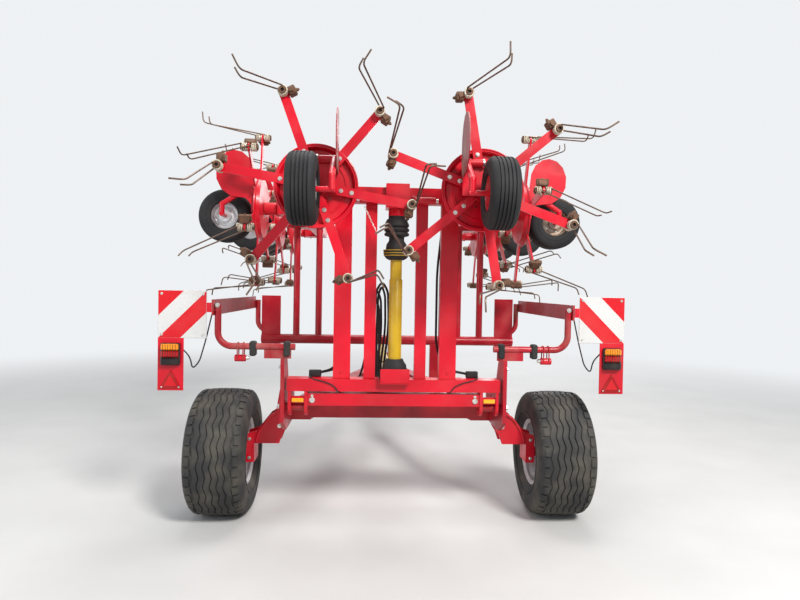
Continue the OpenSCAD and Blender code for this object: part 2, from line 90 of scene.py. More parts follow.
def seen_directly(nt):
    """1 for what the camera sees directly, mirrored or through glass, else 0."""
    path = nt.nodes.new("ShaderNodeLightPath")
    total = path.outputs["Is Camera Ray"]
    for kind in ("Is Glossy Ray", "Is Transmission Ray"):
        step = nt.nodes.new("ShaderNodeMath")
        step.operation = "MAXIMUM"
        nt.links.new(total, step.inputs[0])
        nt.links.new(path.outputs[kind], step.inputs[1])
        total = step.outputs[0]
    return total


def lamp(name, at, aim, size, power, colour=(1, 1, 1)):
    """A round area light."""
    data = bpy.data.lights.new(name, "AREA")
    data.shape = "DISK"
    data.size = size
    data.energy = power
    data.color = colour
    obj = bpy.data.objects.new(name, data)
    obj.location = at
    obj.rotation_euler = (Vector(aim) - Vector(at)).to_track_quat("-Z", "Y").to_euler()
    bpy.context.scene.collection.objects.link(obj)


def setup_light():
    """Four soft lamps and a pale world that is brighter where the camera sees it directly."""
    lamp("key", (3.5, -8.0, 7.0), (0, -1.5, 1.2), 2.2, 1000, (1, 0.98, 0.95))
    lamp("fill", (-6.5, -5.5, 3.5), (0, -1, 1.2), 5.0, 200, (0.94, 0.97, 1))
    lamp("top", (0, 1.0, 8.5), (0, -0.5, 1), 5.0, 420)
    lamp("front", (3.5, 8.5, 4.5), (0, 1, 1.2), 4.0, 260)
    world = bpy.data.worlds.new("world")
    bpy.context.scene.world = world
    world.use_nodes = True
    nt = world.node_tree
    nt.nodes.clear()
    out = nt.nodes.new("ShaderNodeOutputWorld")
    mix = nt.nodes.new("ShaderNodeMixShader")
    lit = nt.nodes.new("ShaderNodeBackground")
    lit.inputs["Color"].default_value = (0.9, 0.93, 1, 1)
    lit.inputs["Strength"].default_value = 0.34
    seen = nt.nodes.new("ShaderNodeBackground")
    seen.inputs["Color"].default_value = BACKDROP
    seen.inputs["Strength"].default_value = 1
    nt.links.new(seen_directly(nt), mix.inputs[0])
    nt.links.new(lit.outputs[0], mix.inputs[1])
    nt.links.new(seen.outputs[0], mix.inputs[2])
    nt.links.new(mix.outputs[0], out.inputs["Surface"])
    bpy.context.scene.view_settings.view_transform = "Standard"


# Materials
def new_material(name, rough, metal=0.0, coat=0.0):
    mat = bpy.data.materials.new(name)
    mat.use_nodes = True
    nt = mat.node_tree
    bsdf = nt.nodes["Principled BSDF"]
    bsdf.inputs["Roughness"].default_value = rough
    bsdf.inputs["Metallic"].default_value = metal
    bsdf.inputs["Coat Weight"].default_value = coat
    bsdf.inputs["Specular IOR Level"].default_value = 0.35
    bsdf.inputs["Coat Roughness"].default_value = 0.12
    return mat, nt, bsdf


def noise_mask(nt, scale, low, high, detail=4.0):
    """A 0..1 mask of cloudy patches: noise between two thresholds."""
    tex = nt.nodes.new("ShaderNodeTexNoise")
    tex.inputs["Scale"].default_value = scale
    tex.inputs["Detail"].default_value = detail
    ramp = nt.nodes.new("ShaderNodeMapRange")
    ramp.inputs["From Min"].default_value = low
    ramp.inputs["From Max"].default_value = high
    nt.links.new(nt.nodes.new("ShaderNodeTexCoord").outputs["Object"], tex.inputs["Vector"])
    nt.links.new(tex.outputs["Fac"], ramp.inputs["Value"])
    return ramp.outputs["Result"]


def mix_colour(nt, mask, a, b):
    """a where the mask is 0, b where it is 1; each is a colour or a socket."""
    mix = nt.nodes.new("ShaderNodeMix")
    mix.data_type = "RGBA"
    nt.links.new(mask, mix.inputs["Factor"])
    for key, value in (("A", a), ("B", b)):
        socket = [s for s in mix.inputs if s.name == key and s.type == "RGBA"][0]
        if isinstance(value, bpy.types.NodeSocket):
            nt.links.new(value, socket)
        else:
            socket.default_value = (*value, 1)
    return [s for s in mix.outputs if s.type == "RGBA"][0]


def scaled(nt, mask, gain):
    product = nt.nodes.new("ShaderNodeMath")
    product.operation = "MULTIPLY"
    product.inputs[1].default_value = gain
    nt.links.new(mask, product.inputs[0])
    return product.outputs[0]


def bump(nt, bsdf, height, strength, distance):
    node = nt.nodes.new("ShaderNodeBump")
    node.inputs["Strength"].default_value = strength
    node.inputs["Distance"].default_value = distance
    nt.links.new(height, node.inputs["Height"])
    nt.links.new(node.outputs[0], bsdf.inputs["Normal"])


def paint(name, base, shade, dust, rust, rough=0.32):
    """Sprayed paint: slow tone changes, dust in patches, small rusty chips and a fine orange peel."""
    mat, nt, bsdf = new_material(name, rough, coat=0.12)
    tone = mix_colour(nt, noise_mask(nt, 2.3, 0.35, 0.65), base, shade)
    dusty = mix_colour(nt, scaled(nt, noise_mask(nt, 5.5, 0.48, 0.72, 6), dust), tone, (0.42, 0.33, 0.27))
    worn = mix_colour(nt, scaled(nt, noise_mask(nt, 34, 0.66, 0.7, 5), rust), dusty, (0.16, 0.07, 0.035))
    nt.links.new(worn, bsdf.inputs["Base Color"])
    ramp = nt.nodes.new("ShaderNodeMapRange")
    ramp.inputs["To Min"].default_value = rough
    ramp.inputs["To Max"].default_value = min(0.85, rough + 0.35)
    nt.links.new(noise_mask(nt, 5.5, 0.45, 0.75, 6), ramp.inputs["Value"])
    nt.links.new(ramp.outputs[0], bsdf.inputs["Roughness"])
    bump(nt, bsdf, noise_mask(nt, 160, 0.3, 0.7, 2), 0.12, 0.0006)
    return mat


def rubber(name, base, dust, amount):
    mat, nt, bsdf = new_material(name, 0.72)
    dusty = mix_colour(nt, scaled(nt, noise_mask(nt, 7, 0.42, 0.7, 6), amount), base, dust)
    nt.links.new(dusty, bsdf.inputs["Base Color"])
    bump(nt, bsdf, noise_mask(nt, 220, 0.3, 0.7, 3), 0.25, 0.0008)
    return mat


def steel(name, base, dark, rough, rust, metal=1.0):
    mat, nt, bsdf = new_material(name, rough, metal)
    tone = mix_colour(nt, noise_mask(nt, 18, 0.35, 0.7, 5), base, dark)
    rusty = mix_colour(nt, scaled(nt, noise_mask(nt, 60, 0.5, 0.66, 6), rust), tone, (0.2, 0.085, 0.035))
    nt.links.new(rusty, bsdf.inputs["Base Color"])
    bump(nt, bsdf, noise_mask(nt, 300, 0.3, 0.7, 2), 0.15, 0.0004)
    return mat


def plastic(name, base, shade, rough=0.38, dust=0.25):
    mat, nt, bsdf = new_material(name, rough)
    tone = mix_colour(nt, noise_mask(nt, 4, 0.35, 0.65), base, shade)
    dusty = mix_colour(nt, scaled(nt, noise_mask(nt, 11, 0.5, 0.75, 6), dust), tone, (0.3, 0.25, 0.16))
    nt.links.new(dusty, bsdf.inputs["Base Color"])
    bump(nt, bsdf, noise_mask(nt, 120, 0.3, 0.7, 2), 0.1, 0.0005)
    return mat


M = {
    "red": paint("red_paint", (0.64, 0.001, 0.017), (0.47, 0.001, 0.012), 0.04, 0.06, 0.3),
    # dark red: the red paint darkened as painted shade, for parts that sit in shade; its dust and rust chips are real
    # wear
    "shaded_red": paint("dark_red_paint", (0.44, 0.001, 0.013), (0.28, 0.002, 0.01), 0.08, 0.15),
    "dusty_red": paint("dusty_red_paint", (0.3, 0.02, 0.03), (0.2, 0.04, 0.042), 0.7, 0.3, 0.5),
    "worn_red": paint("worn_red_paint", (0.4, 0.004, 0.015), (0.27, 0.008, 0.013), 0.3, 0.5, 0.42),
    "tyre": rubber("tyre_rubber", (0.026, 0.026, 0.026), (0.13, 0.115, 0.09), 0.5),
    "ground_tyre": rubber("ground_tyre_rubber", (0.009, 0.0095, 0.011), (0.05, 0.046, 0.042), 0.25),
    "black": rubber("black_rubber", (0.012, 0.012, 0.013), (0.08, 0.07, 0.06), 0.25),
    "black_paint": paint("black_paint", (0.012, 0.012, 0.013), (0.02, 0.02, 0.021), 0.25, 0.3, 0.45),
    # the yellow is toned down towards a brownish yellow, partly as painted shade for the guard tubes that sit in shade
    "yellow": plastic("yellow_plastic", (0.55, 0.34, 0.012), (0.36, 0.21, 0.01)),
    "silver": steel("silver_paint", (0.62, 0.63, 0.65), (0.5, 0.5, 0.51), 0.38, 0.12, 0.7),
    "rusty_rim": steel("rusty_rim", (0.4, 0.36, 0.31), (0.25, 0.16, 0.1), 0.55, 0.8, 0.5),
    "zinc": steel("zinc", (0.75, 0.74, 0.7), (0.55, 0.53, 0.48), 0.3, 0.1),
    "wire": steel("spring_wire", (0.17, 0.12, 0.095), (0.09, 0.065, 0.05), 0.45, 0.6, 0.75),
    "coil": steel("coil_wire", (0.66, 0.61, 0.5), (0.4, 0.33, 0.24), 0.5, 0.45, 0.35),
    "clamp": steel("rusty_clamp", (0.16, 0.085, 0.055), (0.08, 0.05, 0.035), 0.7, 0.8, 0.4),
    "white": paint("white_sheet", (0.62, 0.62, 0.61), (0.55, 0.55, 0.54), 0.12, 0.0, 0.4),
    "sign_red": paint("sign_red", (0.6, 0.003, 0.01), (0.52, 0.003, 0.009), 0.06, 0.0, 0.35),
    "amber": plastic("amber_lens", (0.85, 0.28, 0.01), (0.7, 0.2, 0.008), 0.12, 0.1),
    "lens_red": plastic("red_lens", (0.4, 0.004, 0.006), (0.25, 0.002, 0.004), 0.12, 0.1),
    "dark_lens": plastic("dark_housing", (0.012, 0.01, 0.01), (0.02, 0.015, 0.015), 0.3, 0.1),
    "reflector": plastic("amber_reflector", (0.9, 0.42, 0.02), (0.8, 0.33, 0.01), 0.15, 0.05),
    "hose": rubber("hose_rubber", (0.015, 0.015, 0.016), (0.07, 0.06, 0.05), 0.2),
}


# Mesh building
class Build:
    """Collects the faces of one piece, each part with its own material."""

    def __init__(self, name, body, matrix, slot):
        self.name, self.body, self.matrix, self.slot = name, body, matrix, slot
        self.verts, self.faces, self.mats, self.names = [], [], [], []

    def material(self, key):
        if key not in self.names:
            self.names.append(key)
        return self.names.index(key)

    def add(self, verts, faces, key, m=None):
        base = len(self.verts)
        index = self.material(key)
        for v in verts:
            v = Vector(v)
            self.verts.append(m @ v if m else v)
        flip = m is not None and m.determinant() < 0
        for f in faces:
            f = [base + i for i in f]
            self.faces.append(f[::-1] if flip else f)
            self.mats.append(index)

    def box(self, lo, hi, key, m=None, bevel=0.0):
        """A box with its edges cut by bevel."""
        lo, hi = Vector(lo), Vector(hi)
        b = min(bevel, *(0.45 * (hi[i] - lo[i]) for i in range(3)))
        if b <= 0:
            v = [(x, y, z) for x in (lo.x, hi.x) for y in (lo.y, hi.y) for z in (lo.z, hi.z)]
            f = [(0, 1, 3, 2), (4, 6, 7, 5), (0, 4, 5, 1), (2, 3, 7, 6), (0, 2, 6, 4), (1, 5, 7, 3)]
            self.add(v, f, key, m)
            return
        x0, x1, y0, y1 = lo.x + b, hi.x - b, lo.y + b, hi.y - b
        outline = [(x0, lo.y), (x1, lo.y), (hi.x, y0), (hi.x, y1), (x1, hi.y), (x0, hi.y), (lo.x, y1), (lo.x, y0)]
        inner = [(min(max(x, x0), x1), min(max(y, y0), y1)) for x, y in outline]
        rings = [(inner, lo.z), (outline, lo.z + b), (outline, hi.z - b), (inner, hi.z)]
        v = [(x, y, z) for ring, z in rings for x, y in ring]
        f = [tuple(range(7, -1, -1)), tuple(range(24, 32))]
        for r in range(3):
            for i in range(8):
                j = (i + 1) % 8
                f.append((8 * r + i, 8 * r + j, 8 * r + 8 + j, 8 * r + 8 + i))
        self.add(v, f, key, m)

    def rings(self, rings, key, m=None, closed=False):
        """Skins a list of equal rings of points: closed joins the last to the first, else both ends get a cap."""
        n = len(rings[0])
        v = [p for ring in rings for p in ring]
        f = []
        for r in range(len(rings) - (0 if closed else 1)):
            a, b = r * n, ((r + 1) % len(rings)) * n
            for i in range(n):
                j = (i + 1) % n
                f.append((a + i, a + j, b + j, b + i))
        if not closed:
            f += [tuple(range(n - 1, -1, -1)), tuple(range((len(rings) - 1) * n, len(rings) * n))]
        self.add(v, f, key, m)

    def revolve(self, profile, key, m=None, sides=32, closed=True):
        """Turns a profile of (radius, z) about Z; closed joins the profile's last point to its first."""
        n = len(profile)
        v, f = [], []
        for i in range(sides):
            a = 2 * math.pi * i / sides
            v += [(r * math.cos(a), r * math.sin(a), z) for r, z in profile]
        for i in range(sides):
            a, b = i * n, ((i + 1) % sides) * n
            for k in range(n if closed else n - 1):
                j = (k + 1) % n
                f.append((a + k, b + k, b + j, a + j))
        self.add(v, f, key, m)

    def tube(self, points, radius, key, m=None, sides=10):
        """A round tube along points; radius is one number or one for each point."""
        pts = [Vector(p) for p in points]
        n = len(pts)
        radii = radius if hasattr(radius, "__len__") else [radius] * n
        tan = []
        for i in range(n):
            tan.append((pts[min(i + 1, n - 1)] - pts[max(i - 1, 0)]).normalized())
        up = tan[0].orthogonal().normalized()
        angles = [2 * math.pi * s / sides for s in range(sides)]
        rings = []
        for i in range(n):
            up = (up - tan[i] * up.dot(tan[i])).normalized()
            side = tan[i].cross(up)
            rings.append([pts[i] + radii[i] * (math.cos(a) * up + math.sin(a) * side) for a in angles])
        self.rings(rings, key, m)

    def rod(self, a, b, r, key, m=None, sides=16, bevel=0.0):
        """A straight round bar with bevelled ends."""
        a, b = Vector(a), Vector(b)
        d = (b - a).normalized()
        if bevel:
            step = 1e-5  # keeps the end faces flat
            along = [a, a + d * step, a + d * bevel, b - d * bevel, b - d * step, b]
            self.tube(along, [r - bevel, r - bevel, r, r, r - bevel, r - bevel], key, m, sides)
        else:
            self.tube([a, b], r, key, m, sides)

    def bolt(self, at, axis, size, key="zinc", m=None, nut=False):
        """A hex head on a washer, whose top points along axis; nut adds the bolt's end."""
        t = Matrix.Translation(Vector(at)) @ Vector(axis).normalized().to_track_quat("Z", "Y").to_matrix().to_4x4()
        if m:
            t = m @ t
        w, z = size * 1.05, size * 0.18
        self.revolve([(0, 0), (w, 0), (w, size * 0.14), (w * 0.95, z), (0, z)], key, t, 20)
        r = size * 0.82
        h = size * (0.9 if nut else 0.62)
        corners = [math.radians(60 * i) for i in range(6)]
        hexagons = [(r, z), (r, z + h * 0.85), (r * 0.86, z + h)]
        self.rings([[(q * math.cos(a), q * math.sin(a), up) for a in corners] for q, up in hexagons], key, t)
        if nut:
            self.rod((0, 0, z + h), (0, 0, z + h + size * 0.45), size * 0.42, key, t, 12, size * 0.06)

    def plate(self, outline, thick, key, m=None):
        """A flat plate: outline in X and Y, thickness up."""
        area = sum(p[0] * q[1] - q[0] * p[1] for p, q in zip(outline, outline[1:] + outline[:1]))
        if area < 0:
            outline = outline[::-1]
        self.rings([[(x, y, z) for x, y in outline] for z in (0, thick)], key, m)

    def finish(self, smooth=35, *replaced):
        """Makes the object: smooth is its sharp edges' least angle, replaced are the nodes it stands for."""
        mesh = bpy.data.meshes.new(self.name)
        flip = self.matrix.determinant() < 0
        verts = [self.matrix @ v for v in self.verts]
        mesh.from_pydata([tuple(v) for v in verts], [], [f[::-1] if flip else f for f in self.faces])
        for key in self.names:
            mesh.materials.append(M[key])
        mesh.polygons.foreach_set("material_index", self.mats)
        mesh.polygons.foreach_set("use_smooth", [True] * len(mesh.polygons))
        mesh.update()
        mesh.validate()
        mesh.set_sharp_from_angle(angle=math.radians(smooth))
        obj = bpy.data.objects.new(self.name, mesh)
        bpy.context.scene.collection.objects.link(obj)
        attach(obj, self.body)
        for node in replaced:
            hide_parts(node)


def rotation(axis, degrees):
    return Matrix.Rotation(math.radians(degrees), 4, axis)


def mirror_x(side):
    return Matrix.Scale(side, 4, (1, 0, 0)) if side < 0 else Matrix.Identity(4)


def row_matrix(side, k):
    """From axes over rotor k's beam at work (x out, y forwards, z up) to its stowed place."""
    stow = Matrix.Translation((0, TILT_Y, TILT_Z)) @ rotation("X", -90)
    fold = Matrix.Identity(4)
    if k > 0:
        fold = Matrix.Translation((WING_X, 0, 0)) @ rotation("Y", -90) @ Matrix.Translation((-WING_X, 0, 0))
    return stow @ mirror_x(side) @ fold @ Matrix.Translation((PITCH * (k + 0.5), -ROW_BACK, 0))


def phase(side, k):
    """Where a rotor's first arm stands at rest, in degrees about its post."""
    return 20 - 10 * (k % 2) + (30 if side < 0 else 0)


def bead(radius, z, wide, high=None, step=60):
    """Profile of a thin bead right round, for Build.revolve."""
    angles = [math.radians(a) for a in range(0, 360, step)]
    return [(radius + wide * math.cos(a), z + (high or wide) * math.sin(a)) for a in angles]


def bend_path(points, radius, steps=5):
    """Rounds the inner corners of a path of straight stretches."""
    pts = [Vector(p) for p in points]
    out = [pts[0]]
    for i in range(1, len(pts) - 1):
        a, b, c = pts[i - 1], pts[i], pts[i + 1]
        u, v = (a - b).normalized(), (c - b).normalized()
        cut = min(radius, (a - b).length * 0.45, (c - b).length * 0.45)
        p, q = b + u * cut, b + v * cut
        for s in range(steps + 1):
            t = s / steps
            out.append((1 - t) ** 2 * p + 2 * t * (1 - t) * b + t * t * q)
    out.append(pts[-1])
    return out


# Rotors and tines
def tine_pieces(b, turn, m):
    """One arm's end: bush, clamp block with its bolt, two wound coils and their hooked legs."""
    zc = -(ROTOR_DROP + DISH_H)
    bush, bore, half, turns, inner_gap = m @ Matrix.Translation((COIL_AT, 0, zc)), 0.011, 0.062, 3.75, 0.012
    b.revolve([(bore, -half), (BUSH_R, -half), (BUSH_R, half), (bore, half)], "clamp", bush, 20)
    b.revolve([(0, -0.05), (0.0115, -0.05), (0.0115, 0.05), (0, 0.05)], "dark_lens", bush, 12)
    for (start, out, trail, depth, hook_out, hook_trail, hook_down), up in zip(TINES, (-1, 1)):
        z_in = zc + up * inner_gap
        z_out = -(ROTOR_DROP + start) - up * 0.006
        steps = int(turns * 16)
        r = COIL_R - WIRE_R
        pts = []
        for i in range(steps + 1):
            t = i / steps
            a = -turn * math.pi * (2 * turns * (1 - t) + 0.12)
            pts.append(Vector((COIL_AT + r * math.cos(a), r * math.sin(a), z_in + (z_out - z_in) * t)))
        b.tube(pts, WIRE_R, "coil", m, 8)
        bend = Vector((COIL_AT + out, turn * trail, -ROTOR_DROP - depth))
        tip = bend + Vector((hook_out, turn * hook_trail, -hook_down))
        b.tube(bend_path([pts[-1], bend, tip], 0.03), WIRE_R, "wire", m, 8)
    # clamp block beside the arm's end, on the leading side
    c = m @ Matrix.Translation((COIL_AT - 0.008, -turn * 0.052, zc))
    b.box((-0.026, -0.024, -0.034), (0.026, 0.024, 0.034), "clamp", c @ rotation("Z", 8), 0.006)
    b.box((-0.014, -0.012, -0.044), (0.014, 0.036, 0.044), "clamp", c @ rotation("Z", -14), 0.004)
    b.bolt((0, -turn * 0.024, 0), (0, -turn, 0), 0.013, "clamp", c, True)


def make_rotor(side_name, k):
    side = SIDES[side_name]
    label = f"{side_name}_{k + 1}"
    turn = 1 if k % 2 == 0 else -1
    row = row_matrix(side, k)
    tines = Build(f"tine_set_{label}", f"rotor_{label}", row, "spring_steel")
    trim = Build(f"rotor_trim_{label}", f"rotor_{label}", row, "red_paint")
    top, low = -ROTOR_DROP, -ARM_TOP - ARM_T
    for i in range(ARM_COUNT):
        m = rotation("Z", phase(side, k) + 360 / ARM_COUNT * i)
        tine_pieces(tines, turn, m)
        for x in (0.15, 0.215):
            trim.bolt((x, 0, low), (0, 0, -1), 0.0125, "zinc", m)
        trim.bolt((0.105, 0, top - 0.005), (0, 0, -1), 0.009, "worn_red", m @ rotation("Z", 180 / ARM_COUNT))
        # stiffening bead along the arm's root
        trim.box((0.06, -0.02, low - 0.006), (0.13, 0.02, low + 0.001), "red", m, 0.003)
    # hub cover, rolled rim of the dish and pressed ring inside it
    hub = [(0.03, top - 0.037), (0.062, top - 0.037), (0.066, top - 0.03), (0.066, top - 0.006), (0.03, top - 0.006)]
    ring = [(0.17, top - 0.005), (0.174, top - 0.010), (0.180, top - 0.010), (0.184, top - 0.005)]
    trim.revolve(hub, "red", None, 40)
    trim.revolve(bead(DISH_R + 0.004, top - DISH_H - 0.0025, 0.006, step=45), "red", None, 72)
    trim.revolve(ring, "red", None, 64)
    tines.finish(40, f"tines_{label}")
    trim.finish(35)


# Wheels
def make_ground_wheel(side_name, k):
    side = SIDES[side_name]
    label = f"{side_name}_{k + 1}"
    row = row_matrix(side, k) @ Matrix.Translation((GROUND_STEP, WHEEL_AHEAD, -AXLE_DROP)) @ rotation("Y", 90)
    b = Build(f"ground_tyre_{label}", f"ground_wheel_{label}", row, "tyre_rubber")
    h, r = GROUND_W / 2, GROUND_R
    crown = []
    for g in (-0.042, -0.021, 0.0, 0.021, 0.042):
        top = r - 0.35 * g * g
        crown += [(top, g - 0.0045), (top - 0.007, g - 0.003), (top - 0.007, g + 0.003), (top, g + 0.0045)]
    shoulder = [(r * 0.5, -h + 0.014), (r * 0.53, -h + 0.004), (r * 0.62, -h), (r * 0.78, -h),
                (r * 0.88, -h + 0.004), (r * 0.95, -h + 0.014), (r * 0.985, -h + 0.028)]
    inside = [(r * 0.5, 0.04), (r * 0.48, 0.0), (r * 0.5, -0.04)]
    b.revolve(shoulder + crown + [(x, -z) for x, z in shoulder[::-1]] + inside, "ground_tyre", None, 64)
    for z in (-h + 0.001, h - 0.001):
        b.revolve(bead(r * 0.68, z, 0.003), "ground_tyre", None, 64)
    # rims differ as in the photo: silver on the left, rusty on the right, red on the inner right wheel
    rim = "silver" if side < 0 else "rusty_rim" if k else "red"
    axle, hub, hub_end, seat = 0.0165, 0.045, 0.0565, r * 0.5
    flange = [(seat, h - 0.016), (r * 0.535, h - 0.010), (r * 0.54, h - 0.014), (r * 0.51, h - 0.02), (seat, 0.03)]
    disc = [(axle, -hub_end), (hub, -hub_end), (hub, -0.02), (0.075, -0.012), (0.09, -0.018), (r * 0.46, -0.05)]
    back = [(r * 0.46, 0.02), (0.09, 0.0), (0.075, 0.006), (hub, 0.02), (hub, hub_end), (axle, hub_end)]
    b.revolve(disc + [(x, -z) for x, z in flange] + flange[::-1] + back, rim, None, 48)
    bolts = 5
    for i in range(bolts):
        m = rotation("Z", 360 / bolts * i)
        b.bolt((0.066, 0, 0.008), (0, 0, 1), 0.008, "zinc", m)
        b.bolt((0.066, 0, -0.014), (0, 0, -1), 0.008, "zinc", m)
    cap = [(0, hub_end), (0.028, hub_end), (0.026, 0.066), (0.012, 0.071), (0, 0.072)]
    b.revolve(cap, "black", None, 24, closed=False)
    b.finish(35, f"ground_wheel_{label}")


def make_road_wheel(side_name):
    side = SIDES[side_name]
    place = mirror_x(side) @ Matrix.Translation((TRACK / 2, -MID_Y, TYRE_R)) @ rotation("Y", 90)
    b = Build(f"road_tyre_{side_name}", f"road_wheel_{side_name}", place, "tyre_rubber")
    h, r = TYRE_W / 2, TYRE_R
    deep = 0.011
    half = [(RIM_R - 0.002, -h + 0.045), (RIM_R + 0.012, -h + 0.036), (RIM_R + 0.03, -h + 0.02), (r * 0.64, -h + 0.007),
            (r * 0.72, -h), (r * 0.82, -h + 0.001), (r * 0.89, -h + 0.006), (r * 0.94, -h + 0.018),
            (r * 0.965 - deep * 0.6, -h + 0.034), (r - deep - 0.003, -h + 0.07), (r - deep, -0.06)]
    inside = [(RIM_R - 0.004, 0.1), (RIM_R - 0.004, -0.1)]
    b.revolve(half + [(x, -z) for x, z in half[::-1]] + inside, "tyre", None, 96)

    def crown(z):
        """Outer radius of the tread at a place across the tyre."""
        t = abs(z) / (h - 0.03)
        return r - 0.016 * t * t * t

    # zigzag ribs right round the tyre
    half_w, zig, waves, steps = 0.017, 0.0085, 20, 4
    edge = ((-half_w - 0.003, -deep - 0.002), (-half_w, -0.002), (-half_w + 0.003, 0))
    section = edge + tuple((-dz, dr) for dz, dr in edge[::-1])
    for zc in (-0.104, -0.062, -0.021, 0.021, 0.062, 0.104):
        rings = []
        for i in range(waves * steps):
            a = 2 * math.pi * i / (waves * steps)
            z = zc + zig * (4 * abs(i / steps % 1 - 0.5) - 1)
            places = [(z + dz, crown(z + dz) + dr) for dz, dr in section]
            rings.append([(q * math.cos(a), q * math.sin(a), zz) for zz, q in places])
        b.rings(rings, "tyre", None, closed=True)
    # shoulder blocks
    count = 40
    for s in (-1, 1):
        for i in range(count):
            lean = 0.0035 * (1 if i % 2 else -1)
            block = [(h - 0.062 + lean, r - deep - 0.006), (h - 0.060 + lean, r - 0.006), (h - 0.034, r - 0.0115),
                     (h - 0.02, r - 0.024), (h - 0.008, r - 0.048), (h - 0.012, r - 0.056), (h - 0.05, r - 0.03)]
            rings = []
            for share in (0.08, 0.47, 0.86):
                a = 2 * math.pi * (i + share) / count
                rings.append([(q * math.cos(a), q * math.sin(a), s * z) for z, q in block[::s]])
            b.rings(rings, "tyre", None)
    for z in (-h + 0.0025, h - 0.0025):
        for q in (r * 0.66, r * 0.8):
            b.revolve(bead(q, z, 0.004, 0.003), "tyre", None, 96)
    b.finish(30, f"tyre_{side_name}")

    rim = Build(f"rim_trim_{side_name}", f"road_wheel_{side_name}", place, "silver_paint")
    edge_z = TYRE_W / 2 - 0.045
    flange = [(-0.012, -0.02), (0.004, -0.004), (0.012, 0.004), (0.012, 0.010), (0.004, 0.010), (-0.014, -0.004)]
    for s in (-1, 1):
        rim.revolve([(RIM_R + dr, s * (edge_z + dz)) for dr, dz in flange], "silver", None, 72)
    nuts = 6
    for i in range(nuts):
        rim.bolt((0.1025, 0, 0.013), (0, 0, 1), 0.014, "zinc", rotation("Z", 360 / nuts * i + 15), True)
    # hub cap and valve
    rim.revolve([(0, 0.1), (0.03, 0.1), (0.045, 0.092), (0.05, 0.07), (0.05, 0.05)], "silver", None, 32, closed=False)
    rim.rod((RIM_R - 0.035, 0, 0), (RIM_R - 0.03, 0, 0.05), 0.0045, "black", None, 8)
    rim.finish(35)


# Boards with lamps
def stripes(b, x0, z0, size, y):
    """Four broad diagonal bands on a square that faces backwards, cut exactly at its edges."""
    def cut(poly, f):
        out = []
        for p, q in zip(poly, poly[1:] + poly[:1]):
            fp, fq = f(p), f(q)
            if fp >= 0:
                out.append(p)
            if (fp >= 0) != (fq >= 0):
                t = fp / (fp - fq)
                out.append((p[0] + (q[0] - p[0]) * t, p[1] + (q[1] - p[1]) * t))
        return out
    edges = [-1, 0.27, 0.5, 0.735, 2]
    keys = ["white", "sign_red", "white", "sign_red"]
    square = [(0, 0), (1, 0), (1, 1), (0, 1)]
    for lo, hi, key in zip(edges, edges[1:], keys):
        poly = cut(square, lambda p: (p[0] + p[1]) / 2 - lo)
        poly = cut(poly, lambda p: hi - (p[0] + p[1]) / 2)
        b.add([(x0 + u * size, y, z0 + v * size) for u, v in poly], [tuple(range(len(poly)))], key)


def make_board(side_name):
    m = mirror_x(SIDES[side_name])
    b = Build(f"warning_board_{side_name}", "chassis", m, "striped_board")
    x0, z0, y, t = BOARD_X, BOARD_TOP - BOARD_W, BOARD_Y, 0.006
    back, edge, inset = y - t, 0.002, 0.022
    b.box((x0, back, z0), (x0 + BOARD_W, y, BOARD_TOP), "white", None, 0.0015)
    # the mirror turns the left board's bands round
    stripes(b, x0 + edge, z0 + edge, BOARD_W - 2 * edge, back - 0.0006)
    for x in (x0 + inset, x0 + BOARD_W - inset):
        for z in (z0 + inset, BOARD_TOP - inset):
            b.bolt((x, back, z), (0, -1, 0), 0.008)
    # lamp plate under the board and the strip that joins the board to its pole
    xo, xi, low = x0 + BOARD_W, x0 + BOARD_W - LAMP_W, z0 - LAMP_LOW
    b.box((xi, back, low), (xo, y - 0.001, z0 + edge), "red", None, 0.002)
    b.box((RAIL_OUT - edge, back, BOARD_TOP - 0.135), (x0 + edge, y - 0.0005, BOARD_TOP - 0.075), "red", None, 0.001)
    # lamp housing and its lenses
    lx0, lx1, lz0, lz1 = xi + 0.018, xo - 0.022, z0 - 0.17, z0 - 0.03
    lens0, lens1, high = lx0 + 0.006, lx1 - 0.006, lz1 - lz0
    b.box((lx0, back - 0.022, lz0), (lx1, back + 0.001, lz1), "dark_lens", None, 0.006)
    for key, lo, hi in (("amber", 0.68, 0.97), ("lens_red", 0.36, 0.66), ("dark_lens", 0.04, 0.34)):
        b.box((lens0, back - 0.04, lz0 + high * lo), (lens1, back - 0.018, lz0 + high * hi), key, None, 0.008)
    fields = 7
    for i in range(1, fields):
        x = lens0 + (lens1 - lens0) * i / fields
        b.box((x - 0.0015, back - 0.0405, lz0 + 0.008), (x + 0.0015, back - 0.036, lz1 - 0.008), "dark_lens")
    # red triangle
    tri = [(xi + 0.014, low + 0.014), (xo - 0.014, low + 0.014), ((xi + xo) / 2, low + 0.13)]
    cx, cz = sum(p[0] for p in tri) / 3, sum(p[1] for p in tri) / 3
    inner = [(cx + (x - cx) * 0.6, cz + (z - cz) * 0.6) for x, z in tri]
    upright = Matrix.Translation((0, back, 0)) @ rotation("X", 90)
    b.plate(tri, 0.006, "lens_red", upright)
    b.plate(inner, 0.0085, "sign_red", upright)
    for x, z in ((tri[0][0] + 0.012, tri[0][1] + 0.008), (tri[1][0] - 0.012, tri[1][1] + 0.008)):
        b.bolt((x, back - 0.006, z), (0, -1, 0), 0.005)
    # lamp cable: out of the plate, down in a loop and up to the rail
    loop = [(xi + 0.05, y + 0.003, lz1 - 0.03), (xi + 0.03, y + 0.03, lz1 - 0.03), (xi - 0.03, y + 0.03, lz1 - 0.09),
            (xi - 0.045, y + 0.03, lz0 - 0.03), (xi - 0.09, y + 0.025, lz0 + 0.02), (xi - 0.13, y + 0.02, z0 - 0.01),
            (RAIL_OUT, y + 0.02, z0 + 0.15)]
    b.tube(bend_path(loop, 0.04), CABLE_R, "hose", None, 8)
    b.finish(35, f"board_{side_name}")


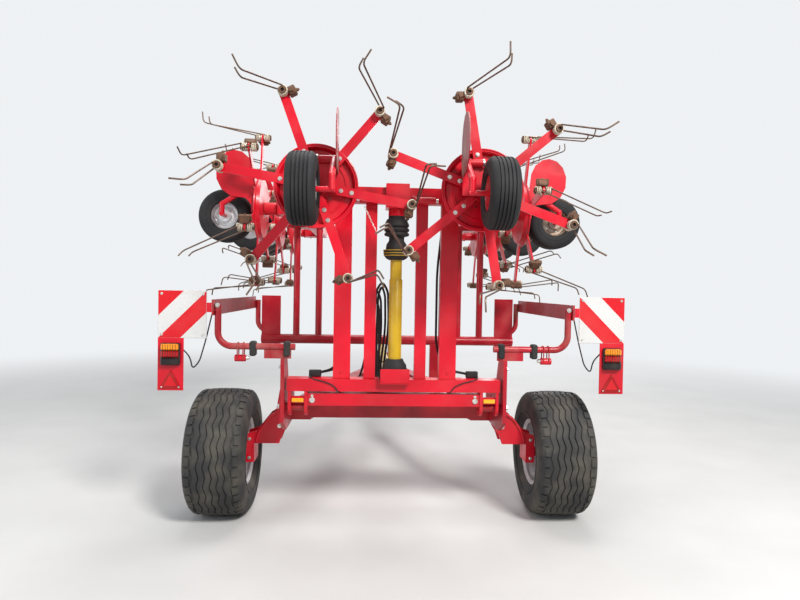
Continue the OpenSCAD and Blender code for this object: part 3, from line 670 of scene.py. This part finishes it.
# Drive, frame and small trim
def make_drive():
    """Boots and guard of the upright drive, the line shaft along the drawbar and the boot between the two."""
    at = Matrix.Translation((0, TILT_Y, TILT_Z))
    low, cone_h, boot_top, boot_h, bore = 0.189, 0.13, 1.295, 0.33, 0.03
    b = Build("drive_boots_detail", "swing", at, "black_rubber")
    # lower cone: two stepped bells
    cone = [(bore, 0), (0.1, 0), (0.1, 0.02), (0.097, 0.04), (0.088, 0.06), (0.08, 0.066), (0.078, 0.09),
            (0.062, 0.112), (0.054, cone_h), (bore, cone_h)]
    b.revolve([(r, low + dz) for r, dz in cone], "black", None, 40)
    # upper bellows: lower bell with yellow bands, three ribs, cap
    z = boot_top - boot_h
    bell = [(bore, 0), (0.05, 0), (0.07, 0.012), (0.081, 0.03), (0.084, 0.05), (0.084, 0.062), (0.07, 0.07),
            (0.066, 0.1), (0.06, 0.11), (0.05, 0.125), (0.05, 0.15)]
    ribs = [(0.078, 0.158), (0.082, 0.165), (0.078, 0.176), (0.07, 0.18), (0.08, 0.188), (0.083, 0.196),
            (0.078, 0.206), (0.07, 0.21), (0.079, 0.218), (0.081, 0.228), (0.076, 0.24)]
    cap = [(0.066, 0.262), (0.055, 0.27), (0.055, 0.285), (bore, 0.285)]
    b.revolve([(r, z + dz) for r, dz in bell + ribs + cap], "black", None, 48)
    for dz, r in ((0.028, 0.081), (0.044, 0.0845), (0.062, 0.086)):
        b.revolve(bead(r, z + dz, 0.003), "yellow", None, 48)
    b.revolve([(0.02, z + 0.285), (0.056, z + 0.285), (0.056, z + boot_h), (0.02, z + boot_h)], "red", None, 40)
    b.finish(35, "drive_boots")

    # guard tube in two lengths, the lower one wider
    # its yellow is toned down partly as painted shade
    b = Build("drive_guard_detail", "swing", at, "yellow_plastic")
    lo, hi, wide, narrow = low + cone_h, boot_top - boot_h, 0.043, 0.038
    mid = lo + (hi - lo) * 0.8
    b.revolve([(bore, lo), (wide, lo), (wide, mid), (0.041, mid + 0.003), (narrow, mid + 0.004), (narrow, hi),
               (bore, hi)], "yellow", None, 40)
    b.finish(35, "drive_guard")

    # line shaft: guard tube in two lengths with a bell at its front end
    y0, y1 = SHAFT_START - MID_Y, SHAFT_END - MID_Y
    mid = (y0 + y1) / 2
    along = Matrix.Translation((0, 0, SHAFT_Z)) @ rotation("X", -90)
    # its yellow is toned down partly as painted shade
    b = Build("line_shaft_detail", "chassis", along, "yellow_plastic")
    b.revolve([(bore, y0), (SHAFT_R, y0), (SHAFT_R, mid), (0.0405, mid + 0.003), (narrow, mid + 0.004),
               (narrow, y1 - 0.12), (SHAFT_R, y1 - 0.1), (SHAFT_R, y1), (bore, y1)], "yellow", None, 40)
    b.finish(35, "line_shaft")

    # its ribbed boot towards the crossbeam and the bare input end with its splines
    b = Build("drive_joint_detail", "chassis", along, "black_rubber")
    boot, gap, input_r, input_end, ribs, splines = y0 - 0.28, 0.0005, 0.0175, y1 + 0.13, 5, 6
    profile = [(bore, boot), (0.05, boot), (0.055, boot + 0.01)]
    for i in range(ribs):
        c = boot + 0.03 + i * 0.036
        w = 0.056 + i * 0.004
        profile += [(w, c), (w + 0.005, c + 0.01), (w + 0.005, c + 0.018), (w, c + 0.027)]
    profile += [(0.078, boot + 0.225), (0.08, boot + 0.25), (0.08, y0 - gap), (bore, y0 - gap)]
    b.revolve(profile, "black", None, 48)
    stub = [(0, y1 + gap), (input_r, y1 + gap), (input_r, input_end - 0.004), (0.0155, input_end), (0, input_end)]
    b.revolve(stub, "zinc", None, 32)
    for i in range(splines):
        turned = rotation("Z", 360 / splines * i)
        b.box((0.0165, -0.0035, y1 + 0.03), (0.0178, 0.0035, input_end - 0.004), "zinc", turned)
    b.finish(35, "drive_joint")


def make_swing_trim():
    """Plate, weld beads, bolts, reflectors, valve blocks and stub tubes of the swing frame."""
    b = Build("swing_trim", "swing", Matrix.Translation((0, TILT_Y, TILT_Z)), "red_paint")
    # folded plate on the crossbeam, under the cone
    face = -0.108
    b.box((-0.094, face, 0.172), (0.094, face + 0.005, 0.262), "red", None, 0.002)
    b.box((-0.094, face + 0.002, 0.166), (0.094, face + 0.053, 0.172), "red", None, 0.001)
    for x in (-0.075, 0.075):
        b.bolt((x, face, 0.185), (0, -1, 0), 0.006, "red")
    for s in (-1, 1):
        # weld beads round the feet of posts and stays
        for xc, w, d in ((POST_X, POST_W, POST_BACK), (STAY_X, STAY_W, STAY_BACK)):
            x0, x1 = s * xc - w / 2, s * xc + w / 2
            weld = [(x0, -d), (x1, -d), (x1, d), (x0, d), (x0, -d)]
            # the weld beads get the red paint darkened as painted shade
            b.tube(bend_path([(x, y, CROSS_TOP) for x, y in weld], 0.002, 1), 0.004, "shaded_red", None, 6)
        # amber reflectors on short stubs beside the lower box beam, bright bolts at its ends
        z = LOW_BEAM_Z
        b.rod((s * 0.58, -0.03, z), (s * 0.664, -0.03, z), 0.024, "red", None, 20, 0.003)
        b.box((s * 0.622 - 0.038, -0.06, 0.038), (s * 0.622 + 0.038, -0.053, 0.064), "reflector", None, 0.003)
        b.bolt((s * 0.53, -0.048, z), (0, -1, 0), 0.017, "zinc")
        b.bolt((s * 0.53, -0.048, 0.078), (0, -1, 0), 0.009, "zinc")
        # valve block where the hoses start
        b.box((s * VALVE_X - 0.04, 0.03, CROSS_TOP), (s * VALVE_X + 0.04, 0.059, 0.235), "black_paint", None, 0.004)
        # stub tube beside the gearbox, its bright end and its bracket
        y, z = -0.075, 1.345
        b.rod((s * 0.09, y, z), (s * 0.245, y, z), 0.024, "red", None, 24, 0.004)
        b.rod((s * 0.245, y, z), (s * 0.262, y, z), 0.014, "zinc", None, 16)
        # the bracket gets the red paint darkened as painted shade
        b.box((s * 0.1 - 0.012, -0.1, 1.32), (s * 0.1 + 0.012, -0.049, 1.372), "shaded_red", None, 0.004)
        b.bolt((s * POST_X, -POST_BACK, 1.29), (0, -1, 0), 0.013, "zinc")
        b.bolt((s * POST_X, -POST_BACK, 0.235), (0, -1, 0), 0.011, "red")
    b.finish(35)


def make_swing_hoses():
    """Two hoses up each post and a thin cable over the crossbeam's edge and down its rear face."""
    b = Build("swing_hoses", "swing", Matrix.Translation((0, TILT_Y, TILT_Z)), "black_rubber")
    face = -CROSS_BACK - THIN_CABLE_R - 0.0005
    cable = [(0.56, 0.05, 0.2), (0.545, -0.03, 0.197), (0.52, face + 0.0005, 0.188), (0.45, face, 0.172),
             (0.39, face, 0.146), (0.362, face, 0.106), (0.35, -0.03, 0.102)]
    for s in (-1, 1):
        for dx in (0.0, 0.022):
            # on the posts' front: at the right one's inner edge, within the left one's width
            x = s * ((0.275 if s > 0 else 0.315) + dx)
            path = [(s * VALVE_X, 0.068, 0.16), (s * 0.5, 0.085, 0.21), (x + s * 0.06, 0.06, 0.24), (x, 0.045, 0.4),
                    (x, 0.045, 0.9), (x + s * 0.03, 0.05, 1.2), (x + s * 0.12, 0.06, 1.3)]
            b.tube(bend_path(path, 0.09, 6), POST_HOSE_R, "hose", None, 8)
        b.tube(bend_path([(s * x, y, z) for x, y, z in cable], 0.03, 4), THIN_CABLE_R, "hose", None, 8)
    b.finish(40)


def make_chain():
    """A chain that hangs from the toolbar on a short pin."""
    b = Build("toolbar_chain", "swing", Matrix.Translation((0, TILT_Y, TILT_Z)), "bright_steel")
    start, end, count = Vector((-0.21, -0.06, 1.3)), Vector((-0.13, -0.09, 1.13)), 14
    down = (end - start).normalized().to_track_quat("Z", "Y").to_matrix().to_4x4()
    link = [(0.004 * math.cos(t), 0, 0.0095 * math.sin(t)) for t in [2 * math.pi * k / 10 for k in range(11)]]
    for i in range(count):
        place = Matrix.Translation(start.lerp(end, (i + 0.5) / count)) @ down @ rotation("Z", 90 * (i % 2))
        b.tube(link, 0.0015, "zinc", place, 5)
    b.rod(start + Vector((0, 0.03, 0)), start, 0.004, "zinc")
    b.finish(40)


def make_arm_trim(side_name):
    """Rib and bolts of a wheel arm, and the bolts and the pin's end cap on the side plate above it."""
    b = Build(f"arm_trim_{side_name}", "chassis", mirror_x(SIDES[side_name]), "red_paint")
    y = -0.08 - MID_Y
    rib = [(0.8, 0.71), (0.86, 0.668), (0.92, 0.57), (0.93, 0.515)]
    b.tube(bend_path([(x, y - 0.004, z) for x, z in rib], 0.03, 4), 0.008, "red", None, 8)
    for x, z in ((0.752, 0.845), (0.752, 0.745), (0.775, 0.62)):
        b.bolt((x, y, z), (0, -1, 0), 0.014, "zinc", None, True)
    for z in (0.4, 0.53):
        b.bolt((0.978, y, z), (0, -1, 0), 0.011, "zinc")
    # side plate: clamp bolts of the pole, end cap of the tilting pin
    plate_x = 0.729
    for dy in (-0.03, 0.05):
        b.bolt((plate_x, TILT_Y + dy, 1.06), (1, 0, 0), 0.014, "zinc", None, True)
    # the pin's end cap gets the red paint darkened as painted shade
    b.rod((plate_x, TILT_Y, TILT_Z), (plate_x + 0.013, TILT_Y, TILT_Z), 0.04, "shaded_red", None, 28, 0.003)
    b.bolt((plate_x + 0.013, TILT_Y, TILT_Z), (1, 0, 0), 0.02, "zinc")
    b.finish(35)


def make_row_trim(side_name):
    """Flanges, bolts and necks of the gearboxes, collars of the wheel legs and heads of the wing pins."""
    side = SIDES[side_name]
    for k in range(4):
        body = "wing_" + side_name if k else "swing"
        b = Build(f"gearbox_trim_{side_name}_{k + 1}", body, row_matrix(side, k), "red_paint")
        # the flange plate gets the red paint darkened as painted shade
        b.box((-0.104, -0.056, -0.064), (0.104, 0.056, -0.0505), "shaded_red", None, 0.002)
        for x in (-0.08, 0.08):
            for y in (-0.05, 0.05):
                b.bolt((x, y, -0.13), (0, y, 0), 0.0095, "zinc")
        neck = [(0.045, -0.18), (0.058, -0.18), (0.058, -0.192), (0.052, -0.2), (0.045, -0.2)]
        b.revolve(neck, "red", None, 40)
        # collars on the tube that the gooseneck turns in
        z = -(ARM_TOP + ARM_T + 0.053)
        # the outer collar gets the red paint darkened as painted shade
        for x, key in ((-0.1275, "shaded_red"), (-0.01, "zinc")):
            b.rod((x - 0.006, -0.15, z), (x + 0.006, -0.15, z), 0.026, key, None, 24, 0.002)
        b.finish(35)
    b = Build(f"wing_pin_trim_{side_name}", "swing", Matrix.Translation((0, TILT_Y, TILT_Z + ROW_BACK)), "red_paint")
    for end in (-1, 1):
        b.bolt((side * WING_X, 0, end * 0.092), (0, 0, end), 0.024, "zinc")
    b.finish(35)


def make_drawbar_trim():
    """Jack's cap and crank, the hoses' clips, the plate under their couplings and the drawbar's bolts."""
    b = Build("drawbar_trim", "chassis", Matrix.Translation((0, -MID_Y, 0)), "red_paint")
    x, y, top, reach = JACK_X, JACK_Y, JACK_TOP, 0.12
    # the jack's cap gets the red paint darkened as painted shade
    b.rod((x, y, top - 0.012), (x, y, top + 0.006), 0.044, "shaded_red", None, 32, 0.003)
    crank = [(x, y, top), (x, y, top + 0.045), (x + reach, y, top + 0.045), (x + reach, y, top + 0.14)]
    b.tube(bend_path(crank, 0.02), 0.008, "zinc", None, 10)
    b.rod((x + reach, y, top + 0.07), (x + reach, y, top + 0.15), 0.014, "black", None, 20, 0.004)
    for z in (0.55, 0.66):
        b.bolt((x, y + 0.04, z), (0, 1, 0), 0.009, "zinc")
    for y in (2.5, 3.1):
        b.box((-0.098, y - 0.012, DRAWBAR_TOP - 0.0005), (-0.05, y + 0.012, 0.82), "black", None, 0.003)
    b.box((-0.125, 3.58, DRAWBAR_TOP), (-0.05, 3.6, 0.86), "red", None, 0.002)
    for s in (-1, 1):
        for y, z in ((2.27, 0.72), (2.33, 0.68), (2.27, 0.68), (2.33, 0.72)):
            b.bolt((s * 0.06, y, z), (s, 0, 0), 0.012, "zinc")
    b.finish(35)


def arch_path(x0, x1, y, top):
    """A hose's way up from its fitting on the cross member, round its arch and down again."""
    w = x1 - x0
    return [(x0, y, 0.76), (x0, y, top - 0.32), (x0 + 0.1 * w, y + 0.01, top - 0.07), (x0 + 0.5 * w, y + 0.03, top),
            (x1 - 0.1 * w, y + 0.05, top - 0.07), (x1, y + 0.06, top - 0.32)]


def make_hoses():
    """Hoses that arch up behind the crossbeam: three run on along the drawbar, one ends on the left member."""
    b = Build("drawbar_hoses", "chassis", Matrix.Translation((0, -MID_Y, 0)), "black_rubber")
    fitting_r, cross_top = 0.0125, 0.75
    # x of the fitting, far side of the arch, its top, x where it comes down, then its place beside the line shaft
    runs = [(-0.134, -0.026, 1.63, -0.064, -0.062, 0.787), (-0.114, -0.05, 1.6, -0.088, -0.074, 0.807),
            (-0.156, -0.078, 1.57, -0.112, -0.085, 0.787)]
    clips, sag = (0.8, 1.5, 2.2), 0.014
    for i, (x0, x1, top, down, hx, hz) in enumerate(runs):
        y = 0.076 + 0.022 * i
        path = arch_path(x0, x1, y, top) + [(down, y + 0.09, 0.95), (down, y + 0.17, 0.83), (hx, clips[0], hz)]
        for a, c in zip(clips, clips[1:]):
            path += [(hx, (a + c) / 2, hz - sag), (hx, c, hz)]
        end = Vector((hx - 0.03, 3.62 + 0.04 * i, hz + 0.06))
        path += [(hx, 3.3, hz), end + Vector((0.01, -0.1, -0.01)), end]
        b.tube(bend_path(path, 0.12, 7), HOSE_R, "hose", None, 8)
        b.rod((x0, y, cross_top), (x0, y, 0.8), fitting_r, "zinc", None, 12, 0.002)
        # coupling with its coloured cap
        cap0, cap1 = end + Vector((-0.003, 0.05, 0.003)), end + Vector((-0.004, 0.075, 0.0045))
        b.rod(end, cap0, fitting_r, "zinc", None, 16, 0.002)
        b.rod(cap0, cap1, 0.015, "lens_red", None, 16, 0.003)
    x0, y, z = -0.094, 0.142, 0.787
    path = arch_path(x0, -0.168, y, 1.52)
    path += [(-0.22, y + 0.12, 0.95), (-0.27, y + 0.2, 0.82), (-0.42, 0.45, 0.79), (-0.5, 0.52, z)]
    b.tube(bend_path(path, 0.12, 7), HOSE_R, "hose", None, 8)
    b.rod((x0, y, cross_top), (x0, y, 0.8), fitting_r, "zinc", None, 12, 0.002)
    b.rod((-0.492, 0.51, z), (-0.524, 0.55, z), fitting_r, "zinc", None, 12, 0.002)
    # the plate under the coupling gets the red paint darkened as painted shade
    b.box((-0.53, 0.52, MEMBER_TOP), (-0.49, 0.56, 0.796), "shaded_red", None, 0.002)
    # straps that hold the run under the line shaft's guard tube
    for y in clips[:2]:
        strap, lo, hi = Matrix.Translation((0, y, SHAFT_Z)) @ rotation("X", 90), SHAFT_R + 0.0005, SHAFT_R + 0.0035
        b.revolve([(lo, -0.008), (hi, -0.008), (hi, 0.008), (lo, 0.008)], "black", strap, 32)
        b.box((-0.099, y - 0.012, 0.774), (-0.041, y + 0.012, 0.822), "black", None, 0.003)
    b.finish(40)


def make_pole_trim(side_name):
    """Rubber clamps of the rear pole, the U-bolts with their stub of tube and bright ball, and the rail's bolt."""
    b = Build(f"pole_trim_{side_name}", "chassis", mirror_x(SIDES[side_name]), "black_rubber")
    y, z = BOARD_Y + 0.03, BOARD_TOP - POLE_DROP
    for x in (0.69, 0.905):
        b.box((x - 0.02, y - 0.03, z - 0.06), (x + 0.02, y + 0.03, z + 0.035), "black", None, 0.008)
    bow = [(-0.024, -0.075), (-0.024, 0.024), (0.024, 0.024), (0.024, -0.075)]
    for x in (0.965, 1.0):
        b.tube(bend_path([(x, y + dy, z + dz) for dy, dz in bow], 0.022), 0.004, "worn_red", None, 8)
    b.rod((0.95, y, z - 0.075), (1.02, y, z - 0.075), 0.022, "red", None, 20, 0.003)
    ball = [(0, -0.014), (0.008, -0.0115), (0.014, 0), (0.011, 0.009), (0, 0.013)]
    ball_at = Matrix.Translation((0.937, y - 0.01, z - 0.072)) @ rotation("Y", 90)
    b.revolve(ball, "zinc", ball_at, 20, closed=False)
    b.bolt((1.128, y - 0.021, BOARD_TOP - 0.09), (0, -1, 0), 0.014, "zinc")
    b.finish(35)


def dress_nodes():
    """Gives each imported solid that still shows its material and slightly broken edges."""
    looks = {"red": ("wheel_arm", "swing_frame", "toolbar", "legs_inner", "wing_beam", "wing_legs", "wing_shields",
                     "rotor"),
             # frame members, drawbar, cross member and carrier get the red paint darkened as painted shade
             "shaded_red": ("side_frame", "drawbar", "cross_member", "carrier"), "worn_red": ("guard",),
             "dusty_red": ("shields_inner",), "zinc": ("jack_leg",), "silver": ("rim",)}
    for name, obj in NODES.items():
        if obj.hide_render:
            continue
        obj.data.materials.clear()
        obj.data.materials.append(M[next(key for key, starts in looks.items() if name.startswith(starts))])
        mod = obj.modifiers.new("edges", "BEVEL")
        mod.width = 0.0025
        mod.segments = 2
        mod.limit_method = "ANGLE"
        mod.angle_limit = math.radians(50)
        mod.harden_normals = True


def make_floor():
    """A plain floor that fades into the background far from the machine."""
    mat, nt, bsdf = new_material("floor", 0.9)
    tone = mix_colour(nt, noise_mask(nt, 1.5, 0.3, 0.7), (0.6, 0.6, 0.59), (0.56, 0.56, 0.55))
    nt.links.new(tone, bsdf.inputs["Base Color"])
    far = nt.nodes.new("ShaderNodeVectorMath")
    far.operation = "LENGTH"
    nt.links.new(nt.nodes.new("ShaderNodeTexCoord").outputs["Object"], far.inputs[0])
    fade = nt.nodes.new("ShaderNodeMapRange")
    fade.interpolation_type = "SMOOTHSTEP"
    fade.inputs["From Min"].default_value = 4.0
    fade.inputs["From Max"].default_value = 11.0
    nt.links.new(far.outputs["Value"], fade.inputs["Value"])
    seen = nt.nodes.new("ShaderNodeMath")
    seen.operation = "MULTIPLY"
    nt.links.new(seen_directly(nt), seen.inputs[0])
    nt.links.new(fade.outputs[0], seen.inputs[1])
    glow = nt.nodes.new("ShaderNodeEmission")
    glow.inputs["Color"].default_value = BACKDROP
    mix = nt.nodes.new("ShaderNodeMixShader")
    nt.links.new(seen.outputs[0], mix.inputs[0])
    nt.links.new(bsdf.outputs[0], mix.inputs[1])
    nt.links.new(glow.outputs[0], mix.inputs[2])
    nt.links.new(mix.outputs[0], nt.nodes["Material Output"].inputs["Surface"])
    mesh = bpy.data.meshes.new("floor")
    half = 30
    corners = [(-half, -half, 0), (half, -half, 0), (half, half, 0), (-half, half, 0)]
    mesh.from_pydata(corners, [], [(0, 1, 2, 3)])
    mesh.materials.append(mat)
    floor = bpy.data.objects.new("floor", mesh)
    bpy.context.scene.collection.objects.link(floor)


setup_view()
setup_light()
for side_name in SIDES:
    for k in range(4):
        make_rotor(side_name, k)
        make_ground_wheel(side_name, k)
    make_road_wheel(side_name)
    make_board(side_name)
    make_pole_trim(side_name)
    make_arm_trim(side_name)
    make_row_trim(side_name)
make_drive()
make_swing_trim()
make_swing_hoses()
make_chain()
make_drawbar_trim()
make_hoses()
dress_nodes()
make_floor()
